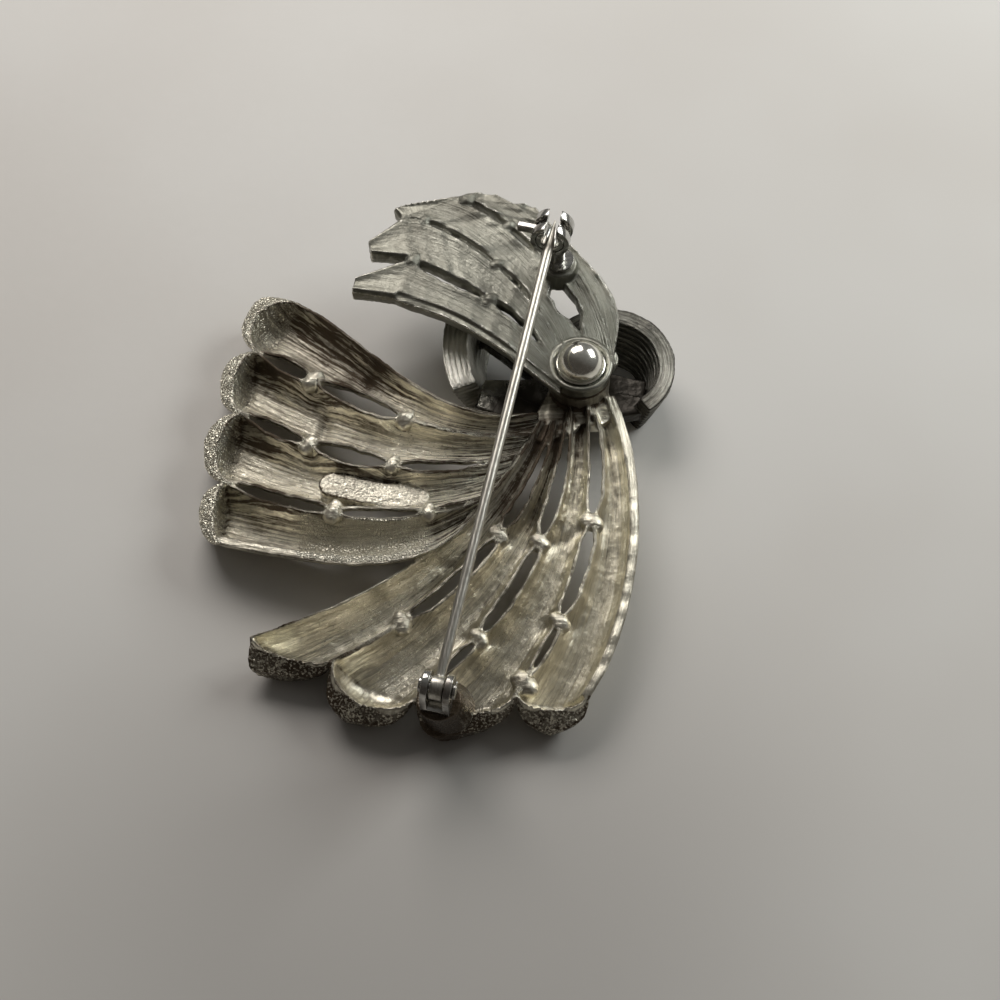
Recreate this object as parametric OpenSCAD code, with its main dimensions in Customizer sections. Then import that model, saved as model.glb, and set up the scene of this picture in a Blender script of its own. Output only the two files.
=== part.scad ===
// Feather brooch, seen from its back: a cast spray of plumes, a ribbon knot in front of it,
// a second spray riveted on top, and a hinged pin stem with a rolling safety catch.
// The brooch lies face down, so +Z points out of its back and the wearer's up is +Y.

/* [Castings] */
// Thickness of the plume walls at their rims
wall = 0.8; // [0.6:0.05:1]
// Width of the open slots between the plumes of the left spray
left_slot = 0.9; // [0.5:0.05:1.1]
// Width of the open slots between the plumes of the lower spray
lower_slot = 1.2; // [0.6:0.05:1.4]
// Width of the open slots between the plumes of the upper spray
upper_slot = 0.7; // [0.4:0.05:0.9]
// Radius of the cast nubs that bridge the slots
nub_r = 0.7; // [0.5:0.05:0.8]

/* [Hub and rivet] */
// Radius of the polished rivet dome
dome_r = 2.35; // [2:0.05:2.5]
// Radius of the rivet's shank
shank_r = 1; // [0.8:0.05:1.1]
// Gap between the stacked castings
seat_gap = 0.1; // [0.05:0.01:0.15]
// Height of the main casting's hub above the table
hub_top = 7.8; // [7.6:0.05:7.8]

/* [Knot] */
// Height of the ribbon's back edge above its front edge
ribbon_h = 6; // [5:0.1:6.2]
// Width of the ribbon's back edge
ribbon_w = 1.6; // [1.2:0.1:1.8]

/* [Pin] */
// Diameter of the pin stem
stem_d = 1; // [0.8:0.05:1]
// Radial clearance between the rivet pin and the knuckle that turns on it
pin_clearance = 0.05; // [0.03:0.01:0.08]
// Length of the stem's sharpened end
point_l = 3.1; // [2.5:0.1:4]

/* [Hinge] */
// Thickness of each hinge ear
ear_t = 0.65; // [0.5:0.05:0.7]
// Radius of the ears' rounded tops
ear_r = 1.5; // [1.3:0.05:1.6]
// Width of the knuckle between the ears
knuckle_w = 1.2; // [1:0.05:1.3]
// Radius of the knuckle
knuckle_r = 1.15; // [1:0.05:1.2]

/* [Catch] */
// Outer radius of the catch's barrel
barrel_r = 2; // [1.9:0.05:2.1]
// Length of the catch's barrel
barrel_l = 2.8; // [2.6:0.1:3]
// Radius of the bore that the roller turns in
roller_bore_r = 1.5; // [1.45:0.01:1.5]
// Width of the mouth that the stem drops through
mouth_w = 1.25; // [1.2:0.05:1.5]
// Reach of the lever tab from the barrel's axis
tab_reach = 3.6; // [3:0.1:3.8]

/* [Hidden] */
$fn = 48;

// Middle of the whole brooch in drawing coordinates, which becomes the origin
centre = [-6.11, 4.43];

// Ridge lines between the plumes, one row a line, as a cubic curve from the fan's edge to its root:
// outer end x, y, outer handle x, y, inner handle x, y, inner end x, y
LEFT_RIDGES = [
    [-21.5, 23.5, -12.5, 16.5, -6.5, 6, 4, 8.5],
    [-25.5, 17.5, -17.5, 12, -6, 4.5, 3, 6],
    [-26.5, 10, -18, 4, -7.5, 0.5, 1.5, 3.5],
    [-27.5, 2, -19, -2.5, -9.5, -4.5, -1, -1],
    [-27.5, -5, -19, -7, -8, -11.5, -2, -2.5]
];
LOWER_RIDGES = [
    [-24, -15, -12.5, -12, -1.5, -5.5, 4, 8],
    [-16, -17.5, -6, -13, 2.5, -5, 5.5, 8],
    [-8, -21.5, 1, -13.5, 6, -5.5, 7, 9.5],
    [1.5, -21, 7.5, -12.5, 11, -2, 9, 10.5],
    [8.5, -21, 13.5, -12.5, 15, 0, 11.5, 11]
];
UPPER_RIDGES = [
    [4.5, 30.5, 8, 25, 13.5, 21.5, 11.5, 14],
    [1.5, 32, 7, 27.5, 11, 20, 11.5, 12.5],
    [-4.5, 33, 2, 30, 7, 22.5, 8.5, 15],
    [-10.5, 30, -5, 31, 5.5, 19.5, 6.5, 13.5],
    [-9.5, 25, -2, 20, 1, 20.5, 6, 12],
    [-10.5, 20, -4, 18.5, 1, 14, 6, 9.5]
];

// Plume tips, one row a plume: reach past the ridge ends, share of the taper on the first side,
// width left at the end, 1 for a round tip or 0 for a straight cut one
LEFT_TIPS = [[4.1, 0.3, 0.2, 1], [3.1, 0.4, 0.2, 1], [3.2, 0.4, 0.2, 1], [2.6, 0.4, 0.2, 1]];
LOWER_TIPS = [[2.5, 0.1, 0.2, 1], [4.1, 0.35, 0.2, 1], [3.2, 0.2, 0.2, 1], [3, 0.45, 0.2, 1]];
UPPER_TIPS = [
    [0.5, 0.5, 0.5, 0], [0.8, 0.5, 0.4, 0], [1.5, 1, 0.15, 0], [3.7, 0.6, 0.33, 0], [4.8, 1, 0.35, 0]
];

// Heights of a spray at its tip, middle and root: rim above the table, outside depth, channel depth
LEFT_HEIGHTS = [[4.4, 6.2, 7], [4.4, 3.4, 2], [3.2, 2.4, 1]];
LOWER_HEIGHTS = [[4.4, 5.8, 6.2], [4.4, 3.2, 2], [3.2, 2.2, 1]];
UPPER_HEIGHTS = [[10.5, 10.2, 9.5], [2.4, 2.2, 1.6], [0.15, 0.25, 0.3]];

// How open the slots are along a spray's inner ridges, one row a ridge, at eleven places from tip to
// root: 0 is closed and 1 has the full width; the last row is for the outer sides, which have no slot
LEFT_OPEN = [
    [0, 1, 1, 1, 1, 1, 0, 0, 0, 0, 0], [0, 1, 1, 1, 1, 1, 1, 1, 1, 0.6, 0],
    [0, 1, 1, 1, 1, 1, 1, 1, 1, 0.6, 0]
];
LOWER_OPEN = [
    [0, 0, 0, 1, 1, 1, 1, 1, 0.7, 0.5, 0], [0, 0.4, 1, 1, 1, 1, 1, 1, 1, 0.6, 0],
    [0, 0.5, 0.7, 1, 1, 1, 1, 1, 1, 0.8, 0]
];
UPPER_OPEN = [
    [0, 0, 0, 0, 0, 0, 0, 0, 0, 0, 0], [0, 1.2, 1.2, 0.6, 1, 0, 0.2, 1.8, 1.4, 0.4, 0],
    [0, 0, 0.5, 0.6, 0.5, 0.3, 0.6, 0.3, 0, 0, 0], [0, 1, 1, 1, 0.6, 0.2, 1.1, 0.7, 0.9, 0, 0]
];
SIDE_OPEN = [0, 1, 1, 1, 1, 1, 1, 1, 1, 0.6, 0];

// Nubs across the slots, one row a nub: ridge, place along it from tip to root, scale of its radius
LEFT_NUBS = [[1, 0.24, 1.1], [1, 0.57, 1], [2, 0.27, 1], [2, 0.57, 0.9], [3, 0.42, 1.1], [3, 0.77, 0.9]];
LOWER_NUBS = [
    [1, 0.23, 1.1], [1, 0.62, 1], [2, 0.25, 1], [2, 0.6, 1], [3, 0.05, 1.3], [3, 0.27, 1], [3, 0.61, 1.1]
];
UPPER_NUBS = [[4, 0.02, 0.9], [4, 0.48, 0.9], [3, 0.14, 0.7], [3, 0.5, 0.8], [2, 0.05, 1], [2, 0.3, 0.7]];

// Half section of a plume, across and down from one rim to the other, as shares of width and depth
OUTSIDE = [
    [-0.9, 0], [-1, 0.3], [-0.88, 0.68], [-0.45, 0.96], [0, 1], [0.45, 0.96], [0.88, 0.68], [1, 0.3],
    [0.9, 0]
];
CHANNEL = [[1, 0], [0.75, 0.7], [0, 1], [-0.75, 0.7], [-1, 0]];
// Rings along a plume between its ridge ends, and the places of the rings on its tip
BODY_RINGS = 11;
TIP_STEPS = [0.97, 0.85, 0.6, 0.3];
// Thickness of the wall that closes a tip, and depth of a channel where it runs out
LIP = 1.3;
FLUSH = 0.03;
// Overlap of neighbours where they join, and how far a spray's outer sides stand past its ridges
FUSE = 0.15;
PROUD = 0.7;
// How much later every second plume's rings start, and sooner they end, as a share of its length
LATE = 0.03;

// Raised plate in the third plume of the left spray: places along the plume, radius and heights
PLATE_PLACES = [0.38, 0.48, 0.58, 0.68];
PLATE_R = 1.3;
PLATE_BASE = 3.9;
PLATE_TOP = 5;

// Hub that the castings are stacked on, with its webs, one row a web: x, y, radius and top at the root
RIVET_AT = [8.1, 12.6];
HUB_R = 3.1;
HUB_BASE = 3.9;
WEBS = [[4.6, 7.4, 1.6, 5.45], [6.6, 8.6, 1.8, 5.6], [9.6, 9.6, 2, 5.75]];
WEB_R = 2.6;
WEB_BASE = 4.3;
SHANK_HOLE_R = shank_r + seat_gap;

// Root of the upper spray, with its web towards the side plume
SPRAY_SEAT = hub_top + seat_gap;
SPRAY_T = 1.4;
SPRAY_WEB_AT = [10.6, 13.6];
SPRAY_WEB_R = 1.4;
SPRAY_WEB_T = 1;

// Flat strap of the knot, and its ribbons, one row a ribbon: centre x, y, angles from and to,
// radius of the back edge, lean of the band
STRAP_TOP = HUB_BASE - seat_gap;
STRAP_T = 1.6;
STRAP = [
    [-2.6, 11], [1, 9.5], [8, 9.2], [14.4, 10.2], [15.2, 14], [10.5, 15.4], [4.5, 18], [-2, 22.4],
    [-3.6, 20.6], [3.6, 14.3], [-1.6, 14.3]
];
RIBBONS = [[11.2, 14.8, -54, 170, 6.8, 1.5], [8.2, 17.2, 160, 203, 14.1, 2]];
RIBBON_EDGE = 0.5;

// Rivet: plain head in front, and the low rim under its dome
HEAD_R = 1.8;
HEAD_T = 0.7;
DOME_RIM = 0.15;
DOME_RIM_T = 0.2;

// Places of the findings, the cast bosses under them, and the solder gap between the two
HINGE_AT = [-5.7, -22.6, 10];
HINGE_BOSS_TOP = 7.2;
HINGE_BOSS_R = 2.1;
HINGE_FOOT_AT = [-4.9, -21.9];
HINGE_FOOT_R = 2.6;
HINGE_FOOT = 3.2;
CATCH_AT = [5.3, 24.8, 15];
CATCH_LEAN = 10;
CATCH_BOSS_AT = [6.1, 24];
CATCH_BOSS_TOP = 10.9;
CATCH_BOSS_R = 1.8;
CATCH_FOOT_R = 2.2;
CATCH_FOOT = 8.9;
BOSS_EDGE = 0.4;
SOLE_GAP = 0.05;

// Hinge bracket and its rivet pin
EAR_GAP = 0.15;
BRACKET_W = knuckle_w + 2 * EAR_GAP + 2 * ear_t;
BRACKET_SOLE = HINGE_BOSS_TOP + SOLE_GAP - HINGE_AT.z;
SOLE_T = 0.6;
SOLE_HEEL = 0.4;
PIN_END = 0.2;
PIN_HEAD_R = 0.75;
PIN_HEAD_T = 0.3;

// Pin stem: direction from hinge to catch, the drawn neck by the knuckle, and the sharp end
RUN = CATCH_AT - HINGE_AT;
STEM_TURN = atan2(RUN.x, RUN.y);
STEM_RISE = atan2(RUN.z, norm([RUN.x, RUN.y]));
STEM_L = norm(RUN);
STEM_R = stem_d / 2;
NECK_R = STEM_R - 0.1;
NECK_L = 3;
POINT_R = 0.08;

// Catch: post and saddle under the barrel, window for the lever tab, and the roller's bore
POST_AT = [5.7, 24.2];
POST_R = 0.95;
POST_FOOT_R = 1.45;
POST_FOOT_T = 0.6;
SADDLE = [1.8, 2.2, 1];
SADDLE_DROP = 0.6;
WINDOW_L = 1;
WINDOW_BASE = -0.7;
TAB_T = 0.7;
TAB_H = 0.9;
ROLLER_GAP = 0.05;
ROLLER_HOLLOW_R = 0.9;

// A value or place between two, and through three; a point of a cubic ridge line; a share held to 0..1
function mix(a, b, t) = a + (b - a) * t;
function through(three, t) =
    three[0] * (1 - t) * (1 - 2 * t) + three[1] * 4 * t * (1 - t) + three[2] * t * (2 * t - 1);
function knot(row, k) = [row[2 * k], row[2 * k + 1]];
function along(row, t) =
    pow(1 - t, 3) * knot(row, 0) + 3 * pow(1 - t, 2) * t * knot(row, 1)
    + 3 * (1 - t) * t * t * knot(row, 2) + pow(t, 3) * knot(row, 3);
function ramp(x) = max(0, min(1, x));

// How open a slot is at a place between two entries of its row
function openness(row, t) =
    let(place = t * (len(row) - 1), i = min(floor(place), len(row) - 2)) mix(row[i], row[i + 1], place - i);

// How far a plume's two rims stand in from its ridges, as shares of its width; each side of a plume
// has the full width of its slot and the row that says where the slot is open
function rim_insets(p, q, t, sides) =
    [for (side = sides) mix(-FUSE, side[0] / 2, openness(side[1], t)) / norm(q - p)];

// A station is its two rims' places, then rim height, outside depth and channel depth
function body_station(a, b, t, sides, heights) =
    let(p = along(a, t), q = along(b, t), inset = rim_insets(p, q, t, sides))
    [mix(p, q, inset[0]), mix(q, p, inset[1]), through(heights[0], t), through(heights[1], t),
        through(heights[2], t)];
function tip_station(a, b, step, tip, heights) =
    let(
        p = knot(a, 0), q = knot(b, 0), side = (q - p) / norm(q - p),
        out = [side.y, -side.x] * tip[0] * step,
        taper = (1 - tip[2]) * (tip[3] == 1 ? 1 - sqrt(1 - step * step) : step),
        rise = tip[3] == 1 ? 1 - 0.3 * pow(step, 3) : 1
    )
    [mix(p, q, taper * tip[1]) + out, mix(q, p, taper * (1 - tip[1])) + out,
        heights[0][0], heights[1][0] * rise, hollow(step, tip) * heights[2][0]];

// Share of the channel's depth left at a step of the tip, which its wall closes in a round
function hollow(step, tip) =
    let(inner = step * tip[0] / (tip[0] - LIP * ramp(tip[0] / 2)))
    inner < 1 ? sqrt(1 - inner * inner) : 0;

// One ring of points: the outside from the first rim to the second, then the channel back
function ring(station) =
    let(
        p = station[0], q = station[1], middle = (p + q) / 2, half = (q - p) / 2,
        inside = half * max(0.3, 0.9 - wall / norm(half))
    )
    concat(
        [for (s = OUTSIDE) [each (middle + half * s.x), station[2] - station[3] * s.y]],
        [for (s = CHANNEL)
            [each (middle + inside * s.x), station[2] - max(FLUSH, station[4]) * s.y - FLUSH]]
    );

// Closed skin through rings of equally many points
module loft(rings) {
    n = len(rings[0]);
    last = (len(rings) - 1) * n;
    sides = [
        for (i = [0:len(rings) - 2], j = [0:n - 1])
            each let(a = i * n + j, b = i * n + (j + 1) % n)
                [[a, b, b + n], [a, b + n, a + n]]
    ];
    polyhedron(
        points = [for (r = rings) each r],
        faces = concat([[for (j = [n - 1:-1:0]) j]], sides, [[for (j = [0:n - 1]) last + j]])
    );
}

// Every second plume is ringed a little within its neighbours, so that no two rings meet on a ridge
module plume(a, b, tip, sides, heights, late) {
    tips = [for (step = TIP_STEPS) tip_station(a, b, step, tip, heights)];
    body = [
        for (i = [0:BODY_RINGS - 1])
            body_station(a, b, mix(late, 1 - late, i / (BODY_RINGS - 1)), sides, heights)
    ];
    loft([for (station = concat(tips, body)) ring(station)]);
}

// The two outer sides of a spray have no slot and stand a little proud of their ridge lines
module spray(ridges, tips, slot, open, heights) {
    last = len(tips) - 1;
    outer = [-PROUD, SIDE_OPEN];
    for (i = [0:last]) {
        sides = [i == 0 ? outer : [slot, open[i - 1]], i == last ? outer : [slot, open[i]]];
        plume(ridges[i], ridges[i + 1], tips[i], sides, heights, i % 2 * LATE);
    }
}

// Lumps of metal left across the slots
module nubs(ridges, rows, slot, heights) {
    for (row = rows) {
        t = row[1];
        p = along(ridges[row[0]], t);
        ahead = along(ridges[row[0]], t + 0.02) - p;
        across = [ahead.y, -ahead.x] / norm(ahead);
        z = through(heights[0], t) - nub_r;
        hull()
            for (side = [-1, 1])
                translate([each (p + across * side * slot * 0.6), z])
                    sphere(nub_r * row[2], $fn = 12);
    }
}

module centred() {
    translate([-centre.x, -centre.y, 0])
        children();
}

module disc(at, r, low, high) {
    translate([at.x, at.y, low])
        cylinder(r = r, h = high - low);
}

// Lies along the stem's own frame: X across it, Y towards the point, Z away from the brooch
module stem_frame(at) {
    translate(at)
        rotate([0, 0, -STEM_TURN])
            rotate([STEM_RISE, 0, 0])
                children();
}

module hinge_frame() {
    translate(HINGE_AT)
        rotate([0, 0, -STEM_TURN])
            children();
}

module crosswise(r, w) {
    rotate([0, 90, 0])
        cylinder(r = r, h = w, center = true);
}

module bare_plate() {
    places = [for (t = PLATE_PLACES) (along(LEFT_RIDGES[2], t) + along(LEFT_RIDGES[3], t)) / 2];
    for (i = [1:len(places) - 1])
        hull()
            for (k = [i - 1, i])
                disc(places[k], PLATE_R, PLATE_BASE, PLATE_TOP);
}

module hub_webs() {
    for (web = WEBS)
        hull() {
            disc(RIVET_AT, WEB_R, HUB_BASE, web[3]);
            disc(web, web[2], WEB_BASE, web[3]);
        }
}

// Cast boss that a finding is soldered on, from a small flat top down to a wider foot
module boss(at, r, top, foot_at, foot_r, foot) {
    hull() {
        disc(at, r, top - BOSS_EDGE, top);
        disc(foot_at, foot_r, foot, foot + BOSS_EDGE);
    }
}

module main_casting() {
    color("darkgray") centred()
        difference() {
            union() {
                spray(LEFT_RIDGES, LEFT_TIPS, left_slot, LEFT_OPEN, LEFT_HEIGHTS);
                spray(LOWER_RIDGES, LOWER_TIPS, lower_slot, LOWER_OPEN, LOWER_HEIGHTS);
                nubs(LEFT_RIDGES, LEFT_NUBS, left_slot, LEFT_HEIGHTS);
                nubs(LOWER_RIDGES, LOWER_NUBS, lower_slot, LOWER_HEIGHTS);
                bare_plate();
                hub_webs();
                disc(RIVET_AT, HUB_R, HUB_BASE, hub_top);
                boss(HINGE_AT, HINGE_BOSS_R, HINGE_BOSS_TOP, HINGE_FOOT_AT, HINGE_FOOT_R, HINGE_FOOT);
            }
            disc(RIVET_AT, SHANK_HOLE_R, 0, hub_top + 1);
        }
}

module upper_spray() {
    color("silver") centred()
        difference() {
            union() {
                spray(UPPER_RIDGES, UPPER_TIPS, upper_slot, UPPER_OPEN, UPPER_HEIGHTS);
                nubs(UPPER_RIDGES, UPPER_NUBS, upper_slot, UPPER_HEIGHTS);
                disc(RIVET_AT, HUB_R, SPRAY_SEAT, SPRAY_SEAT + SPRAY_T);
                boss(CATCH_BOSS_AT, CATCH_BOSS_R, CATCH_BOSS_TOP, CATCH_BOSS_AT, CATCH_FOOT_R, CATCH_FOOT);
                hull() {
                    disc(RIVET_AT, WEB_R, SPRAY_SEAT, SPRAY_SEAT + SPRAY_WEB_T);
                    disc(SPRAY_WEB_AT, SPRAY_WEB_R, SPRAY_SEAT, SPRAY_SEAT + SPRAY_WEB_T);
                }
            }
            disc(RIVET_AT, SHANK_HOLE_R, 0, CATCH_BOSS_TOP);
            disc(RIVET_AT, dome_r + DOME_RIM + seat_gap, SPRAY_SEAT + SPRAY_T, CATCH_BOSS_TOP);
        }
}

// The band leans outwards from its front edge to its back edge
module ribbon_arc(row) {
    r = row[4];
    front_r = r - row[5];
    translate([row[0], row[1]])
        rotate([0, 0, row[2]])
            rotate_extrude(angle = row[3] - row[2], $fn = 96)
                polygon([
                    [r - ribbon_w, ribbon_h], [r, ribbon_h], [r, ribbon_h - RIBBON_EDGE],
                    [front_r, 0], [front_r - ribbon_w, 0]
                ]);
}

module ribbon_knot() {
    color("gray") centred()
        difference() {
            union() {
                for (row = RIBBONS)
                    ribbon_arc(row);
                translate([0, 0, STRAP_TOP - STRAP_T])
                    linear_extrude(STRAP_T)
                        polygon(STRAP);
            }
            disc(RIVET_AT, SHANK_HOLE_R, 0, STRAP_TOP + 1);
        }
}

module centre_rivet() {
    dome_base = SPRAY_SEAT + SPRAY_T + seat_gap;
    dome_foot = dome_base + DOME_RIM_T;
    head_top = STRAP_TOP - STRAP_T - seat_gap;
    color("gainsboro") centred() {
        disc(RIVET_AT, HEAD_R, head_top - HEAD_T, head_top);
        disc(RIVET_AT, shank_r, head_top - HEAD_T / 2, dome_base + DOME_RIM_T / 2);
        disc(RIVET_AT, dome_r + DOME_RIM, dome_base, dome_foot);
        intersection() {
            translate([RIVET_AT.x, RIVET_AT.y, dome_foot])
                sphere(dome_r);
            disc(RIVET_AT, dome_r + 1, dome_foot - DOME_RIM_T / 2, dome_foot + dome_r + 1);
        }
    }
}

module hinge_bracket() {
    color("dimgray") centred() hinge_frame()
        difference() {
            union() {
                translate([-BRACKET_W / 2, -ear_r, BRACKET_SOLE])
                    cube([BRACKET_W, 2 * ear_r + SOLE_HEEL, SOLE_T]);
                for (side = [-1, 1])
                    translate([side * (BRACKET_W - ear_t) / 2, 0, 0]) {
                        crosswise(ear_r, ear_t);
                        translate([-ear_t / 2, -ear_r, BRACKET_SOLE])
                            cube([ear_t, 2 * ear_r, -BRACKET_SOLE]);
                    }
            }
            crosswise(STEM_R, BRACKET_W + 1);
        }
}

module hinge_pin() {
    color("lightgray") centred() hinge_frame() {
        crosswise(STEM_R - pin_clearance, BRACKET_W + 2 * PIN_END);
        for (side = [-1, 1])
            translate([side * (BRACKET_W / 2 + PIN_END), 0, 0])
                crosswise(PIN_HEAD_R, PIN_HEAD_T);
    }
}

// The wire tapers down to the knuckle, is straight along its length, and is ground to a point
module pin_stem() {
    straight_end = STEM_L + barrel_l / 2 - point_l;
    color("whitesmoke") centred() stem_frame(HINGE_AT)
        difference() {
            union() {
                crosswise(knuckle_r, knuckle_w);
                rotate([-90, 0, 0]) {
                    cylinder(r1 = NECK_R, r2 = STEM_R, h = NECK_L);
                    translate([0, 0, NECK_L])
                        cylinder(r = STEM_R, h = straight_end - NECK_L);
                    translate([0, 0, straight_end])
                        cylinder(r1 = STEM_R, r2 = POINT_R, h = point_l);
                }
            }
            crosswise(STEM_R, knuckle_w + 1);
        }
}

// The catch's barrel leans back a little from the stem that lies in it
module catch_frame() {
    stem_frame(CATCH_AT)
        rotate([-CATCH_LEAN, 0, 0])
            children();
}

module barrel(r, l) {
    rotate([90, 0, 0])
        cylinder(r = r, h = l, center = true);
}

// Slot along the top of the barrel that the stem drops through
module mouth() {
    translate([-mouth_w / 2, -barrel_l, 0])
        cube([mouth_w, 2 * barrel_l, 2 * barrel_r]);
}

module catch_housing() {
    foot = CATCH_BOSS_TOP + SOLE_GAP;
    color("slategray") centred() {
        catch_frame()
            difference() {
                union() {
                    barrel(barrel_r, barrel_l);
                    translate([-SADDLE.x / 2, -SADDLE.y / 2, -barrel_r - SADDLE_DROP])
                        cube(SADDLE);
                }
                barrel(roller_bore_r, barrel_l + 2);
                mouth();
                translate([-2 * barrel_r, -WINDOW_L / 2, WINDOW_BASE])
                    cube([4 * barrel_r, WINDOW_L, 2 * barrel_r]);
            }
        disc(CATCH_BOSS_AT, POST_FOOT_R, foot, foot + POST_FOOT_T);
        disc(POST_AT, POST_R, foot, CATCH_AT.z - barrel_r + FUSE);
    }
}

module catch_roller() {
    color("darkslategray") centred() catch_frame()
        difference() {
            union() {
                barrel(roller_bore_r - ROLLER_GAP, barrel_l);
                translate([-tab_reach, -TAB_T / 2, -TAB_H / 2])
                    cube([tab_reach, TAB_T, TAB_H]);
            }
            barrel(ROLLER_HOLLOW_R, barrel_l + 2);
            mouth();
        }
}

main_casting();
upper_spray();
ribbon_knot();
centre_rivet();
hinge_bracket();
hinge_pin();
pin_stem();
catch_housing();
catch_roller();
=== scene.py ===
import math

import bmesh
import bpy
import numpy as np
from mathutils import Matrix, Vector, noise
from mathutils.bvhtree import BVHTree
from mathutils.interpolate import poly_3d_calc


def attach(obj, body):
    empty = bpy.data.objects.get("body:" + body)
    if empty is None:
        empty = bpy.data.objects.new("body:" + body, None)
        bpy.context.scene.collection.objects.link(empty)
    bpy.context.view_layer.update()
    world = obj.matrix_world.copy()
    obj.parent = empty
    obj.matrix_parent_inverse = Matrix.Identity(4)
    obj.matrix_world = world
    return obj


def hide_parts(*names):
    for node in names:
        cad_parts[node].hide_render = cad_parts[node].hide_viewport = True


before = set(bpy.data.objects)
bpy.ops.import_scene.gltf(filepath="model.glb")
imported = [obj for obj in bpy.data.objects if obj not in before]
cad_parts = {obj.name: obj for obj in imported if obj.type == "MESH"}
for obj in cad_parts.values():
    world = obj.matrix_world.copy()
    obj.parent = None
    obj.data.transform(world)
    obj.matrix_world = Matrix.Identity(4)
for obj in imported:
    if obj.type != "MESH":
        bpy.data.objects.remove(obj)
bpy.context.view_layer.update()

# Camera, at the photograph's angle: straight from the wearer's feet, 62 degrees above the table.
# Sizes are in millimetres all through, and MM turns them to the frame's metres.
MM = 0.001
LOOK_AT = Vector((6.11, -4.43, 4))
LOOK_DOWN = math.radians(62)
DISTANCE = 180.56
LENS = 65
camera = bpy.data.objects.new("camera", bpy.data.cameras.new("camera"))
camera.data.lens = LENS
camera.data.sensor_width = 36
camera.data.clip_start = 0.01
camera.location = (LOOK_AT + DISTANCE * Vector((0, -math.cos(LOOK_DOWN), math.sin(LOOK_DOWN)))) * MM
camera.rotation_euler = (math.pi / 2 - LOOK_DOWN, 0, 0)
bpy.context.scene.collection.objects.link(camera)
bpy.context.scene.camera = camera


# Table: a pale sheet of satin plastic, lit from beyond the wearer's shoulders by two soft lamps. A soft
# shadow is painted on it where it lies nearest. Its section also has the classes that all finishes are made
# with.
class Level:
    """A value or colour on its way through a finish, which adds and multiplies like a number."""

    def __init__(self, finish, socket):
        self.finish = finish
        self.socket = socket

    def _with(self, operation, other, turned=False):
        pair = (other, self) if turned else (self, other)
        return self.finish.node("Math", {"operation": operation}, {0: pair[0], 1: pair[1]})

    def __add__(self, other):
        return self._with("ADD", other)

    __radd__ = __add__

    def __sub__(self, other):
        return self._with("SUBTRACT", other)

    def __rsub__(self, other):
        return self._with("SUBTRACT", other, True)

    def __mul__(self, other):
        return self._with("MULTIPLY", other)

    __rmul__ = __mul__

    def capped(self):
        return self.finish.node("Clamp", {}, {"Value": self})


class Finish:
    """A material whose nodes are added one call at a time, each giving a Level."""

    def __init__(self, name):
        self.material = bpy.data.materials.new(name)
        self.material.use_nodes = True
        self.tree = self.material.node_tree
        self.tree.nodes.clear()

    def node(self, kind, settings, values, out=0):
        """Any other node: its settings first, then its values and links."""
        made = self.tree.nodes.new("ShaderNode" + kind)
        for key, setting in settings.items():
            setattr(made, key, setting)
        for key, value in values.items():
            if isinstance(value, Level):
                self.tree.links.new(value.socket, made.inputs[key])
            else:
                made.inputs[key].default_value = value
        return Level(self, made.outputs[out])

    def ramp(self, level, low, high):
        """0 where the level is low, 1 where it is high; low may be the greater number."""
        return self.node("MapRange", {"interpolation_type": "SMOOTHSTEP"},
                         {"Value": level, "From Min": low, "From Max": high})

    def only(self, level, value):
        """1 where a part's number has the value, 0 where it has any other."""
        return self.ramp(level, value - 0.5, value - 0.1) * self.ramp(level, value + 0.5, value + 0.1)

    def mixed(self, share, first, second):
        return self.node("Mix", {"data_type": "RGBA"}, {0: share, 6: first, 7: second}, 2)

    def grain(self, place, scale, detail=2, roughness=0.5):
        return self.node("TexNoise", {}, {"Vector": place, "Scale": scale, "Detail": detail,
                                          "Roughness": roughness})

    def cells(self, place, scale):
        return self.node("TexVoronoi", {"feature": "DISTANCE_TO_EDGE"}, {"Vector": place, "Scale": scale})

    def stretched(self, place, by):
        return self.node("VectorMath", {"operation": "MULTIPLY"}, {0: place, 1: by})

    def place(self):
        return self.node("TexCoord", {}, {}, "Object")

    def marks(self, name):
        return self.node("Attribute", {"attribute_name": name}, {}, "Vector")

    def parts(self, vector):
        split = self.node("SeparateXYZ", {}, {"Vector": vector})
        return [Level(self, socket) for socket in split.socket.node.outputs]

    def bump(self, height, strength, distance):
        return self.node("Bump", {}, {"Height": height, "Strength": strength, "Distance": distance})

    def surface(self, values):
        shader = self.node("BsdfPrincipled", {}, values)
        output = self.tree.nodes.new("ShaderNodeOutputMaterial")
        self.tree.links.new(shader.socket, output.inputs["Surface"])
        return self.material


def link(name, mesh):
    piece = bpy.data.objects.new(name, mesh)
    bpy.context.scene.collection.objects.link(piece)
    return piece


TABLE_HALF = 900
TABLE_PALE = (0.74, 0.725, 0.69, 1)
TABLE_DUSKY = (0.69, 0.665, 0.625, 1)
# The table's colour where its painted shadow is darkest
TABLE_SHADOWED = (0.55, 0.53, 0.5, 1)
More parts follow.
